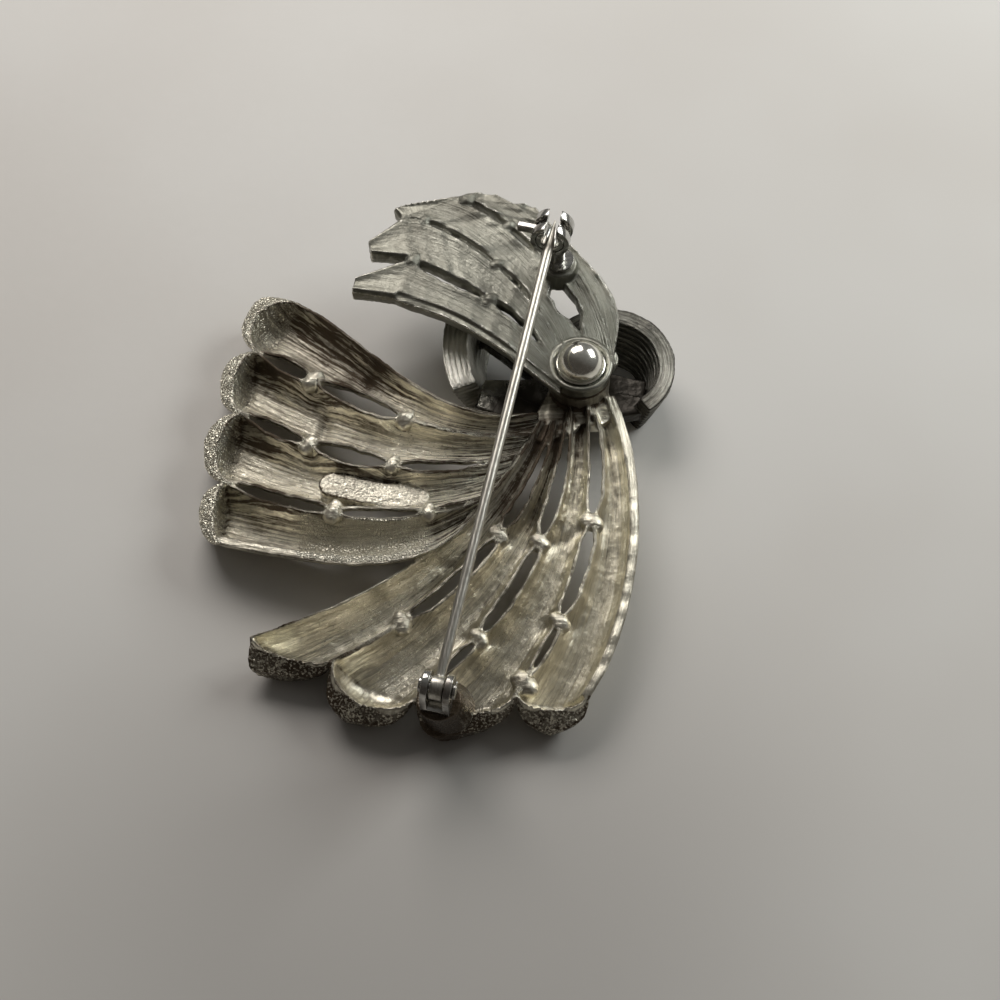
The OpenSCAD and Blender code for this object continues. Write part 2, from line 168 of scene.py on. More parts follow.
# Painted shadow on the table: where it is painted darkest, and how far from there it fades back to plain
SHADOW_POOL = (-2, -44, 0)
SHADOW_NEAR = 14
SHADOW_FAR = 52
bm = bmesh.new()
bmesh.ops.create_grid(bm, x_segments=1, y_segments=1, size=TABLE_HALF * MM)
table_mesh = bpy.data.meshes.new("table")
bm.to_mesh(table_mesh)
bm.free()
table = link("table", table_mesh)
plastic = Finish("satin_plastic")
blotches = plastic.grain(plastic.place(), 18, 3)
specks = plastic.grain(plastic.place(), 900, 2)
from_shadow = plastic.node("VectorMath", {"operation": "DISTANCE"},
                         {0: plastic.place(), 1: Vector(SHADOW_POOL) * MM}, 1)
# A soft shadow painted into the table's colour, darkest at the place given above
painted_shadow = plastic.ramp(from_shadow, SHADOW_FAR * MM, SHADOW_NEAR * MM)
sheet = plastic.mixed(plastic.ramp(blotches, 0.35, 0.7), TABLE_PALE, TABLE_DUSKY)
table.data.materials.append(plastic.surface({
    "Base Color": plastic.mixed(painted_shadow, sheet, TABLE_SHADOWED),
    "Roughness": 0.5 + 0.1 * specks,
    "Normal": plastic.bump(specks, 0.1, 0.00005),
}))

# Softboxes, one row a lamp: place, where it points, width, height, power, colour
LAMPS = [
    ((195, 115, 140), (30, 20, 0), 140, 100, 0.29, (0.97, 1, 0.99)),
    ((-60, 200, 200), (0, 20, 0), 200, 150, 0.43, (1, 0.955, 0.92)),
]
for place, aim, width, height, power, colour in LAMPS:
    light = bpy.data.lights.new("softbox", "AREA")
    light.shape = "RECTANGLE"
    light.size = width * MM
    light.size_y = height * MM
    light.energy = power
    light.color = colour
    lamp = link("softbox", light)
    lamp.location = Vector(place) * MM
    lamp.rotation_euler = (Vector(place) - Vector(aim)).to_track_quat("Z", "Y").to_euler()

# Room: pale on the window's side, dark behind the wearer's feet
ROOM_HIGH = (0.17, 0.17, 0.165, 1)
ROOM_LOW = (0.05, 0.045, 0.04, 1)
WINDOW_SIDE = (0.45, 0.8, 0.4)
FAR_SIDE = -0.3
NEAR_SIDE = 0.9
world = bpy.data.worlds.new("room")
bpy.context.scene.world = world
world.use_nodes = True
tree = world.node_tree
coords = tree.nodes.new("ShaderNodeTexCoord")
toward = tree.nodes.new("ShaderNodeVectorMath")
toward.operation = "DOT_PRODUCT"
toward.inputs[1].default_value = WINDOW_SIDE
share = tree.nodes.new("ShaderNodeMapRange")
share.interpolation_type = "SMOOTHSTEP"
share.inputs["From Min"].default_value = FAR_SIDE
share.inputs["From Max"].default_value = NEAR_SIDE
wall = tree.nodes.new("ShaderNodeMix")
wall.data_type = "RGBA"
wall.inputs[6].default_value = ROOM_LOW
wall.inputs[7].default_value = ROOM_HIGH
tree.links.new(coords.outputs["Generated"], toward.inputs[0])
tree.links.new(toward.outputs["Value"], share.inputs["Value"])
tree.links.new(share.outputs[0], wall.inputs[0])
tree.links.new(wall.outputs[2], tree.nodes["Background"].inputs["Color"])
bpy.context.scene.view_settings.view_transform = "Standard"


# Main casting: two fans of plumes and the hub, cast in one go in a silver-tone alloy. The plumes are open
# channels behind, brushed along their length, stained brown in the hollows, with shade painted on the left
# fan's north channel walls, and pale on the rims.
# CENTRE is the middle of the brooch in the drawing's millimetres, which all the tables are in.
CENTRE = Vector((-6.11, 4.43))
WALL = 0.38
LEFT_SLOT = 1.3
LOWER_SLOT = 1.2
# The lines between plumes, one row a line: four points of a cubic curve, x and y, tip to root
LEFT_RIDGES = [
    (-21.5, 23.5, -12.5, 16.5, -6.5, 6, 4, 8.5),
    (-25.5, 17.5, -17.5, 12, -6, 4.5, 3, 6),
    (-26.5, 10, -18, 4, -7.5, 0.5, 1.5, 3.5),
    (-27.5, 2, -19, -2.5, -9.5, -4.5, -1, -1),
    (-27.5, -5, -19, -7, -8, -11.5, -2, -2.5),
]
LOWER_RIDGES = [
    (-24, -15, -12.5, -12, -1.5, -5.5, 4, 8),
    (-16, -17.5, -6, -13, 2.5, -5, 5.5, 8),
    (-8, -21.5, 1, -13.5, 6, -5.5, 7, 9.5),
    (1.5, -21, 7.5, -12.5, 11, -2, 9, 10.5),
    (8.5, -21, 13.5, -12.5, 15, 0, 11.5, 11),
]
# Tips, one row a plume: reach, how far it leans from its first side, bluntness, 1 rounded or 0 square
LEFT_TIPS = [(4.1, 0.3, 0.2, 1), (3.1, 0.4, 0.2, 1), (3.2, 0.4, 0.2, 1), (2.6, 0.4, 0.2, 1)]
LOWER_TIPS = [(2.5, 0.1, 0.2, 1), (4.1, 0.35, 0.2, 1), (3.2, 0.2, 0.2, 1), (3, 0.45, 0.2, 1)]
# Heights of the rim, depth of the plume and depth of its channel, each at tip, middle and root
LEFT_HEIGHTS = [(4.4, 6.2, 7), (4.4, 3.4, 2), (3.2, 2.4, 1)]
LOWER_HEIGHTS = [(4.4, 5.8, 6.2), (4.4, 3.2, 2), (3.2, 2.2, 1)]
# How wide each slot opens in ten even steps from tip to root
LEFT_OPEN = [
    (0, 1, 1.1, 1, 1.2, 1, 0, 0, 0, 0, 0), (0, 0.9, 0.9, 1, 1.2, 1, 0.7, 0.7, 0.6, 0.3, 0),
    (0, 0.8, 0.8, 0.8, 0.8, 0.7, 0.7, 0.6, 0.5, 0.4, 0),
]
LOWER_OPEN = [
    (0, 0, 0, 1, 1, 1, 1, 1, 0.7, 0.5, 0), (0, 0.4, 1, 1, 1, 1, 1, 1, 1, 0.6, 0),
    (0, 0.5, 0.7, 1, 1, 1, 1, 1, 1, 0.8, 0),
]
SIDE_OPEN = (0, 1, 1, 1, 1, 1, 1, 1, 1, 0.6, 0)
# Nubs left across the slots, one row a nub: its line, its place along it, its size
LEFT_NUBS = [(1, 0.24, 1.1), (1, 0.57, 1), (2, 0.27, 1), (2, 0.57, 0.9), (3, 0.42, 1.1), (3, 0.77, 0.9)]
LOWER_NUBS = [
    (1, 0.23, 1.1), (1, 0.62, 1), (2, 0.25, 1), (2, 0.6, 1), (3, 0.05, 1.3), (3, 0.27, 1), (3, 0.61, 1.1),
]
NUB_R = 0.85
NUB_SINK = 0.68
NUB_SPAN = 0.5
# A nub's lumps, one row a lump: place along the slot, place across it, share of its radius
LUMPS = [(0, 0, 1), (0.12, 0.55, 0.9), (-0.16, -0.5, 0.88)]
LUMPY = 0.24
PINCH = 2
RAGGED = 0.16
RIM_WAVE = 0.2
OUTER_RIM = 0.3
# A plume's section outside and inside, one row a point: share of the half width, share of the depth
OUTSIDE = [(-0.98, 0), (-1, 0.05), (-0.94, 0.2), (-0.8, 0.42), (-0.6, 0.66), (-0.33, 0.9), (0, 1),
           (0.33, 0.9), (0.6, 0.66), (0.8, 0.42), (0.94, 0.2), (1, 0.05), (0.98, 0)]
CHANNEL = [(1, 0), (0.86, 0.42), (0.64, 0.73), (0.36, 0.93), (0, 1), (-0.36, 0.93), (-0.64, 0.73),
           (-0.86, 0.42), (-1, 0)]
LIP = 1.6
LEFT_DROP = 0.6
LOWER_DROP = 1.7
# FLUSH keeps two faces apart, FUSE and PROUD let neighbours overlap, RESTING is the lowest height
FLUSH = 0.03
FUSE = 0.15
PROUD = 0.7
RESTING = 0.01
BODY_RINGS = 80
TIP_RINGS = 16
ROUND = 4
# Numbers that tell a casting's parts apart in its marks; plumes have 0 to 3, 4 to 7 and 10 to 14,
# and BOSS is the knot's strap too
LOWER_FIRST = 4
UPPER_FIRST = 10
NUB = 20
HUB = 21
BOSS = 22
COLLAR = 23
PLATE = 24
# Dips across a plume's floor, one row a dip: plume, place along it, half width, depth
DIPS = [(0, 0.36, 0.02, 0.3), (1, 0.3, 0.022, 0.45), (2, 0.36, 0.014, 0.4), (4, 0.52, 0.02, 0.25),
        (5, 0.7, 0.05, 0.5), (6, 0.6, 0.02, 0.25), (7, 0.86, 0.03, 0.3)]


def mix(a, b, t):
    """A share t of the way from a to b."""
    return a + (b - a) * t


def through(three, t):
    """A smooth run through values for the tip, the middle and the root."""
    return three[0] * (1 - t) * (1 - 2 * t) + three[1] * 4 * t * (1 - t) + three[2] * t * (2 * t - 1)


def corner(row, k):
    return Vector((row[2 * k], row[2 * k + 1]))


def along(row, t):
    """The point at share t of a cubic curve, from tip to root."""
    s = 1 - t
    return (s ** 3 * corner(row, 0) + 3 * s * s * t * corner(row, 1) + 3 * s * t * t * corner(row, 2)
            + t ** 3 * corner(row, 3))


def ramp01(x):
    return max(0.0, min(1.0, x))


def openness(row, t):
    """The value at share t of a table's even steps."""
    place = ramp01(t) * (len(row) - 1)
    i = min(int(place), len(row) - 2)
    return mix(row[i], row[i + 1], place - i)


def eased(points):
    """A smooth run of points through a short table, with ROUND steps between its rows."""
    run = []
    for i in range(len(points) - 1):
        before = points[max(0, i - 1)]
        a, b = points[i], points[i + 1]
        after = points[min(len(points) - 1, i + 2)]
        for k in range(ROUND):
            u = k / ROUND
            run.append(tuple(
                0.5 * (2 * a[c] + (b[c] - before[c]) * u
                       + (2 * before[c] - 5 * a[c] + 4 * b[c] - after[c]) * u * u
                       + (3 * a[c] - before[c] - 3 * b[c] + after[c]) * u ** 3)
                for c in (0, 1)))
    return run + [points[-1]]


def gap_at(side, t, length, seed):
    """How far a plume's edge stands back from its ridge: slots are lens-shaped between the nubs."""
    width, row, stops = side
    share = openness(row, t)
    for stop in stops:
        share *= ramp01((abs(t - stop) * length - NUB_SPAN) / PINCH) ** 0.5
    ragged = RAGGED * noise.noise((t * length * 0.9, seed * 3.7, 0)) if width > 0 else 0
    return mix(-FUSE, width / 2 + ragged, share)


def body_station(a, b, t, sides, heights, length, number):
    """What one section of a plume needs to know: its two edges, heights, depths and place across."""
    p, q = along(a, t), along(b, t)
    width = (q - p).length
    inset = [gap_at(side, t, length, number + k) / width for k, side in enumerate(sides)]
    lane = (inset[0] - inset[1], 1 - inset[0] - inset[1])
    hollow = through(heights[2], t)
    for plume_number, place, spread, depth in DIPS:
        if plume_number == number:
            hollow += depth * math.exp(-((t - place) / spread) ** 2)
    wave = RIM_WAVE * noise.noise((t * length * 0.7, number * 3.1, 1))
    rim = through(heights[0], t) + wave
    off = OUTER_RIM if sides[1][0] < 0 else 0
    return (mix(p, q, inset[0]), mix(q, p, inset[1]), rim, rim, through(heights[1], t), hollow + wave, 1,
            lane, off)


def tip_station(a, b, step, tip, heights, drop):
    """The same beyond a plume's first section, where it closes: step is 0 there and 1 at its end."""
    p, q = corner(a, 0), corner(b, 0)
    side = (q - p).normalized()
    out = Vector((side.y, -side.x)) * tip[0] * step
    rounded = tip[3] == 1
    closing = (1 - tip[2]) * (1 - math.sqrt(1 - step * step)) + tip[2] * step ** 8
    taper = closing if rounded else (1 - tip[2]) * step
    rise = 1 - 0.3 * step ** 3 if rounded else 1
    inner = step * tip[0] / (tip[0] - LIP * ramp01(tip[0] / 2)) if rounded else 0
    arch = math.sqrt(1 - inner ** 2.4) if inner < 1 else 0
    end_wall = (1 - inner ** 2.2) ** 0.6 if inner < 1 else 0
    rim = heights[0][0] - drop * (0.5 * ramp01(inner) + 0.5 * step) * ramp01(inner * 2)
    lane = (taper * (2 * tip[1] - 1), 1 - taper)
    brim = heights[0][0] - drop * ramp01((step * tip[0] - tip[0] + LIP) / LIP) * rounded
    return (mix(p, q, taper * tip[1]) + out, mix(q, p, taper * (1 - tip[1])) + out, rim, brim,
            heights[1][0] * rise - drop * step * rounded, end_wall * heights[2][0], arch, lane, 0)


def ring(station, forms):
    """Points round one section of a plume, with how far each lies across it and inside it."""
    p, q, rim, brim, depth, hollow, arch, lane, off = station
    outside, channel, wall = forms
    middle, half = (p + q) / 2, (q - p) / 2
    share = max(0.45, 1 - (wall + off) / half.length) * max(arch, 0.02)
    inner = middle - half.normalized() * off
    points = [(*(middle + half * x), rim - depth * y, lane[0] + lane[1] * x, 0, y) for x, y in outside]
    points += [(*(inner + half * share * x), brim - max(FLUSH, hollow) * y - FLUSH,
                lane[0] + lane[1] * share * x, 1, y) for x, y in channel]
    return points


def plume(bm, marks, a, b, tip, sides, heights, number, forms, drop):
    """A tube of rings from a plume's tip to its root, each vertex marked with its place in it."""
    steps = [math.sin(math.pi / 2 * (1 - k / TIP_RINGS)) for k in range(TIP_RINGS)]
    steps[0] = 0.998
    if tip[3] == 0:
        steps = [1 - k / TIP_RINGS for k in range(TIP_RINGS)]
    rings = []
    for step in steps:
        lip = ramp01((step * tip[0] - tip[0] + LIP) / LIP) * tip[3]
        station = tip_station(a, b, step, tip, heights, drop)
        rings.append((ring(station, forms), -step * tip[0], -max(lip, 0.01)))
    length = sum((along(a, k / 20) - along(a, (k - 1) / 20)).length for k in range(1, 21))
    for k in range(BODY_RINGS):
        t = k / (BODY_RINGS - 1)
        station = body_station(a, b, t, sides, heights, length, number)
        rings.append((ring(station, forms), t * length, t))
    around = len(rings[0][0])
    made = bmesh.ops.create_grid(bm, x_segments=len(rings) - 1, y_segments=around, size=0.5)["verts"]
    made.sort(key=lambda v: (round(v.co.x, 4), round(v.co.y, 4)))
    for k, (points, distance, share) in enumerate(rings):
        for j in range(around + 1):
            x, y, z, across, inside, down = points[j % around]
            v = made[k * (around + 1) + j]
            v.co = (x, y, z)
            v[marks["flow"]] = (distance, across, number)
            v[marks["skin"]] = (inside, down, share)
    bmesh.ops.remove_doubles(bm, verts=made, dist=1e-5)
    live = [v for v in made if v.is_valid]
    rim_edges = [e for e in {e for v in live for e in v.link_edges} if e.is_boundary]
    bmesh.ops.holes_fill(bm, edges=rim_edges, sides=0)


def spray(bm, marks, ridges, tips, slot, opened, heights, first, stops, forms, drop):
    """A fan of plumes side by side, with slots between them and pinches at their nubs."""
    between = [(slot, row, [t for ridge, t, _ in stops if ridge == k + 1]) for k, row in enumerate(opened)]
    rows = [(-PROUD, SIDE_OPEN, [])] + between + [(-PROUD, SIDE_OPEN, [])]
    for i, tip in enumerate(tips):
        plume(bm, marks, ridges[i], ridges[i + 1], tip, rows[i:i + 2], heights, first + i, forms, drop)


def mark_plain(marks, verts, number):
    """Marks for a part with no length of its own, such as a nub or a boss."""
    for v in verts:
        v[marks["flow"]] = (v.co.x * 0.4, v.co.y * 0.1, number)
        v[marks["skin"]] = (0.5, 0.3, 0.5)


def nubs(bm, marks, ridges, rows, heights):
    """Small lumps of metal left across the slots, each of a few balls."""
    for ridge, t, scale in rows:
        at = along(ridges[ridge], t)
        ahead = (along(ridges[ridge], t + 0.02) - at).normalized()
        r = NUB_R * scale
        z = through(heights[0], t) - NUB_SINK * r
        turn = Matrix.Rotation(math.atan2(ahead.y, ahead.x), 3, "Z")
        for lump, (x, y, share) in enumerate(LUMPS):
            made = bmesh.ops.create_icosphere(bm, subdivisions=3, radius=r * share)["verts"]
            for v in made:
                v.co *= 1 + LUMPY * noise.noise(v.co * 1.2 + Vector((t * 40, ridge * 9, lump * 5)))
                v.co = turn @ (v.co + Vector((x, y, 0.4 * share - 0.4)) * r) + Vector((at.x, at.y, z))
            mark_plain(marks, made, NUB)


def hulled(bm, marks, discs, number=HUB):
    """The taut skin round a few flat discs, one row a disc: place, radius, height."""
    made = []
    for x, y, r, z in discs:
        made += bmesh.ops.create_circle(bm, segments=40, radius=r,
                                        matrix=Matrix.Translation((x, y, z)))["verts"]
    mark_plain(marks, made, number)
    got = bmesh.ops.convex_hull(bm, input=made)
    spare = [g for g in got["geom_interior"] if isinstance(g, bmesh.types.BMVert)]
    bmesh.ops.delete(bm, geom=spare, context="VERTS")


# Hub, webs and bosses: rows are discs of place, radius and height
RIVET_AT = (8.1, 12.6)
HUB_R = 3.1
HUB_BASE = 3.9
HUB_TOP = 7.8
WEBS = [(4.6, 7.4, 1.6, 5.45), (6.6, 8.6, 1.8, 5.6), (9.6, 9.6, 2, 5.75)]
WEB_R = 2.6
WEB_BASE = 4.3
HINGE_BOSS = [(-5.7, -22.6, 2.1, 7.2), (-5.7, -22.6, 2.1, 6.8), (-4.9, -21.9, 2.6, 3.6),
              (-4.9, -21.9, 2.6, 3.2)]
PLATE_PLACES = [0.38, 0.48, 0.58, 0.68]
PLATE_R = 1.3
PLATE_BASE = 3.9
PLATE_TOP = 5
# Tarnish, one row a patch: place, reach, strength; a strength under 0 is a patch worn pale
MAIN_TARNISH = [
    (8.2, 11.1, 5, 1), (2.2, 2, 4, 0.55), (0.5, -1.7, 3, 0.5), (4.4, 5.7, 2.6, 0.7),
    (-17.8, 18.4, 2.6, 0.6), (-12.5, 14.7, 2, 0.5), (-22.2, 21.5, 2.6, 0.45), (-16.1, 14.1, 2.2, 0.6),
    (-23.4, 15.9, 2.4, 0.5), (-24.3, 8.1, 2.6, 0.45), (-23.8, 0, 2.6, 0.5), (-7.7, -12.6, 2, 0.4),
    (-5.2, 12.3, 3, -0.35), (-8.1, 6.9, 3, -0.35), (-20.1, 2.9, 3, -0.3), (-12, -3.4, 5, -0.3),
    (12, 7, 2.2, -0.5), (8, -12, 4, -0.25), (-5.7, -24.5, 1.8, 1), (-19.4, -14.9, 3, 0.4),
    (-14.4, -18.5, 2.8, 0.55), (-4.2, -21.2, 3, 0.7),
    (-23.9, 20.8, 2, -0.4), (-27, 0.5, 2.5, -0.3), (11.8, 8.6, 2.2, -0.6), (5, -1.5, 3, -0.25),
    (-1.5, 4.5, 3, -0.2),
]


def new_shell():
    """An empty mesh whose points carry "flow" (distance along, place across, number of the part) and
    "skin" (inside or outside, how far down the wall, share of the length)."""
    bm = bmesh.new()
    marks = {name: bm.verts.layers.float_vector.new(name) for name in ("flow", "skin")}
    return bm, marks


def normals_of(mesh):
    got = np.zeros(len(mesh.vertices) * 3, np.float32)
    mesh.vertex_normals.foreach_get("vector", got)
    return got.reshape(-1, 3)


def eased_away(mesh, co, rounds):
    """Where each vertex goes when the skin is smoothed that many times."""
    pairs = np.zeros(len(mesh.edges) * 2, np.int32)
    mesh.edges.foreach_get("vertices", pairs)
    start, end = pairs[0::2], pairs[1::2]
    here, there = np.concatenate([start, end]), np.concatenate([end, start])
    count = np.bincount(here, minlength=len(co))[:, None]
    smooth = co.astype(np.float64)
    for _ in range(rounds):
        total = np.stack([np.bincount(here, smooth[there, c], len(co)) for c in range(3)], 1)
        smooth = 0.5 * smooth + 0.5 * total / count
    return smooth


# Rounds of smoothing that tell edges and hollows, and the most triangles a casting keeps
CRISP = 8
BROAD = 70
MAIN_BUDGET = 195000
SMALL_BUDGET = 150000


def settle(bm, name, voxel, budget, wobble, tarnish_and_painted_light):
    """Casts a shell's overlapping forms into one closed skin, and carries its marks over. It adds "wear":
    how sharp an edge is, how deep a hollow is, and the sum of the patch tables, which on the ribbon knot are
    painted shade and light."""
    bmesh.ops.recalc_face_normals(bm, faces=bm.faces)
    rough = bpy.data.meshes.new(name + "_rough")
    bm.to_mesh(rough)
    tree = BVHTree.FromBMesh(bm)
    bm.free()
    flow = [a.vector.copy() for a in rough.attributes["flow"].data]
    skin = [a.vector.copy() for a in rough.attributes["skin"].data]
    corners = [list(p.vertices) for p in rough.polygons]
    spot = [v.co.copy() for v in rough.vertices]
    carrier = link(name + "_rough", rough)
    remesh = carrier.modifiers.new("cast", "REMESH")
    remesh.mode = "VOXEL"
    remesh.voxel_size = voxel
    smooth = carrier.modifiers.new("ease", "SMOOTH")
    smooth.factor = 0.5
    smooth.iterations = 3
    dg = bpy.context.evaluated_depsgraph_get()
    mesh = bpy.data.meshes.new_from_object(carrier.evaluated_get(dg))
    count = len(mesh.vertices)
    co = np.zeros(count * 3, np.float32)
    mesh.vertices.foreach_get("co", co)
    co = co.reshape(-1, 3)
    flow_new = np.zeros((count, 3), np.float32)
    skin_new = np.zeros((count, 3), np.float32)
    for i in range(count):
        hit, _, face, _ = tree.find_nearest(co[i].tolist())
        ring_of = corners[face]
        if len(ring_of) > 4:
            near = min(ring_of, key=lambda k: (spot[k] - hit).length_squared)
            flow_new[i] = flow[near]
            skin_new[i] = skin[near]
            continue
        shares = poly_3d_calc([spot[k] for k in ring_of], hit)
        flow_new[i] = sum((flow[k] * share for k, share in zip(ring_of, shares)), Vector((0, 0, 0)))
        skin_new[i] = sum((skin[k] * share for k, share in zip(ring_of, shares)), Vector((0, 0, 0)))
    co = wobble(mesh, co, flow_new, skin_new)
    co[:, 2] = np.maximum(co[:, 2], RESTING)
    mesh.vertices.foreach_set("co", co.astype(np.float32).ravel())
    mesh.update()
    normal = normals_of(mesh)
    wear_new = np.zeros((count, 3), np.float32)
    for column, rounds in enumerate((CRISP, BROAD)):
        wear_new[:, column] = ((eased_away(mesh, co, rounds) - co) * normal).sum(1)
    for x, y, reach, strength in tarnish_and_painted_light:
        away = (co[:, 0] - x) ** 2 + (co[:, 1] - y) ** 2
        wear_new[:, 2] += strength * np.exp(-away / reach ** 2)
    for label, values in (("flow", flow_new), ("skin", skin_new), ("wear", wear_new)):
        layer = mesh.attributes.new(label, "FLOAT_VECTOR", "POINT")
        layer.data.foreach_set("vector", values.ravel())
    bpy.data.objects.remove(carrier)
    piece = link(name, mesh)
    triangles = sum(len(p.vertices) - 2 for p in mesh.polygons)
    if triangles > budget:
        thin = piece.modifiers.new("thin", "DECIMATE")
        thin.ratio = budget / triangles
        dg = bpy.context.evaluated_depsgraph_get()
        thinned = bpy.data.meshes.new_from_object(piece.evaluated_get(dg))
        piece.modifiers.clear()
        piece.data = thinned
    piece.data.transform(Matrix.Scale(MM, 4) @ Matrix.Translation((-CENTRE.x, -CENTRE.y, 0)))
    for face in piece.data.polygons:
        face.use_smooth = True
    return piece


# Unevenness, one row a wave: how fine it is, in waves to the millimetre, and how high in millimetres
WAVES = [(0.55, 0.07), (1.8, 0.04)]
HAMMERING = [(2.3, 0.1), (4.6, 0.06)]
RIPPLE = 0.09
CALM = 0.35


def waves(rows, p):
    return sum(height * noise.noise(p * pitch) for pitch, height in rows)


def casting_wobble(mesh, co, flow, skin):
    """The unevenness of a hand-finished casting: soft waves, long ripples, and hammered tips."""
    normal = normals_of(mesh)
    lift = np.zeros(len(co), np.float32)
    for i in range(len(co)):
        p = Vector(co[i].tolist())
        f, s = flow[i], skin[i]
        calm = CALM if UPPER_FIRST - 1 < f[2] < NUB - 1 or f[1] > 0.85 else 1
        lift[i] = calm * waves(WAVES, p)
        if s[0] > 0.5 and s[2] > -0.2:
            lift[i] += calm * RIPPLE * noise.noise((f[0] * 0.2, f[1] * 7, f[2] * 5)) * ramp01(s[1] * 2)
        if s[2] < -0.005:
            hammered = ramp01(-s[2] * 2) if s[0] > 0.5 or s[2] > 0 else 0.6
            lift[i] += hammered * waves(HAMMERING, p)
    return co + normal * lift[:, None]


CAST_FORMS = (eased(OUTSIDE), eased(CHANNEL), WALL)
bm, marks = new_shell()
spray(bm, marks, LEFT_RIDGES, LEFT_TIPS, LEFT_SLOT, LEFT_OPEN, LEFT_HEIGHTS, 0, LEFT_NUBS, CAST_FORMS,
      LEFT_DROP)
spray(bm, marks, LOWER_RIDGES, LOWER_TIPS, LOWER_SLOT, LOWER_OPEN, LOWER_HEIGHTS, LOWER_FIRST, LOWER_NUBS,
      CAST_FORMS, LOWER_DROP)
nubs(bm, marks, LEFT_RIDGES, LEFT_NUBS, LEFT_HEIGHTS)
nubs(bm, marks, LOWER_RIDGES, LOWER_NUBS, LOWER_HEIGHTS)
hulled(bm, marks, [(*RIVET_AT, HUB_R, HUB_BASE), (*RIVET_AT, HUB_R, HUB_TOP)])
for x, y, r, top in WEBS:
    hulled(bm, marks, [(*RIVET_AT, WEB_R, HUB_BASE), (*RIVET_AT, WEB_R, top), (x, y, r, WEB_BASE),
                       (x, y, r, top)])
hulled(bm, marks, HINGE_BOSS, BOSS)
places = [(along(LEFT_RIDGES[2], t) + along(LEFT_RIDGES[3], t)) / 2 for t in PLATE_PLACES]
for a, b in zip(places, places[1:]):
    hulled(bm, marks, [(*a, PLATE_R, PLATE_BASE), (*a, PLATE_R, PLATE_TOP), (*b, PLATE_R, PLATE_BASE),
                       (*b, PLATE_R, PLATE_TOP)], PLATE)
main_casting = settle(bm, "main_fans", 0.16, MAIN_BUDGET, casting_wobble,
                      MAIN_TARNISH)

CAST_BRIGHT = (0.93, 0.885, 0.745, 1)
CAST_GREY = (0.7, 0.655, 0.535, 1)
CAST_STAIN = (0.065, 0.045, 0.026, 1)
# Colour of painted highlights: the upper spray's rubbed edges and the knot's side-lit strip are mixed towards
# it
PAINTED_GLEAM = (0.88, 0.86, 0.78, 1)


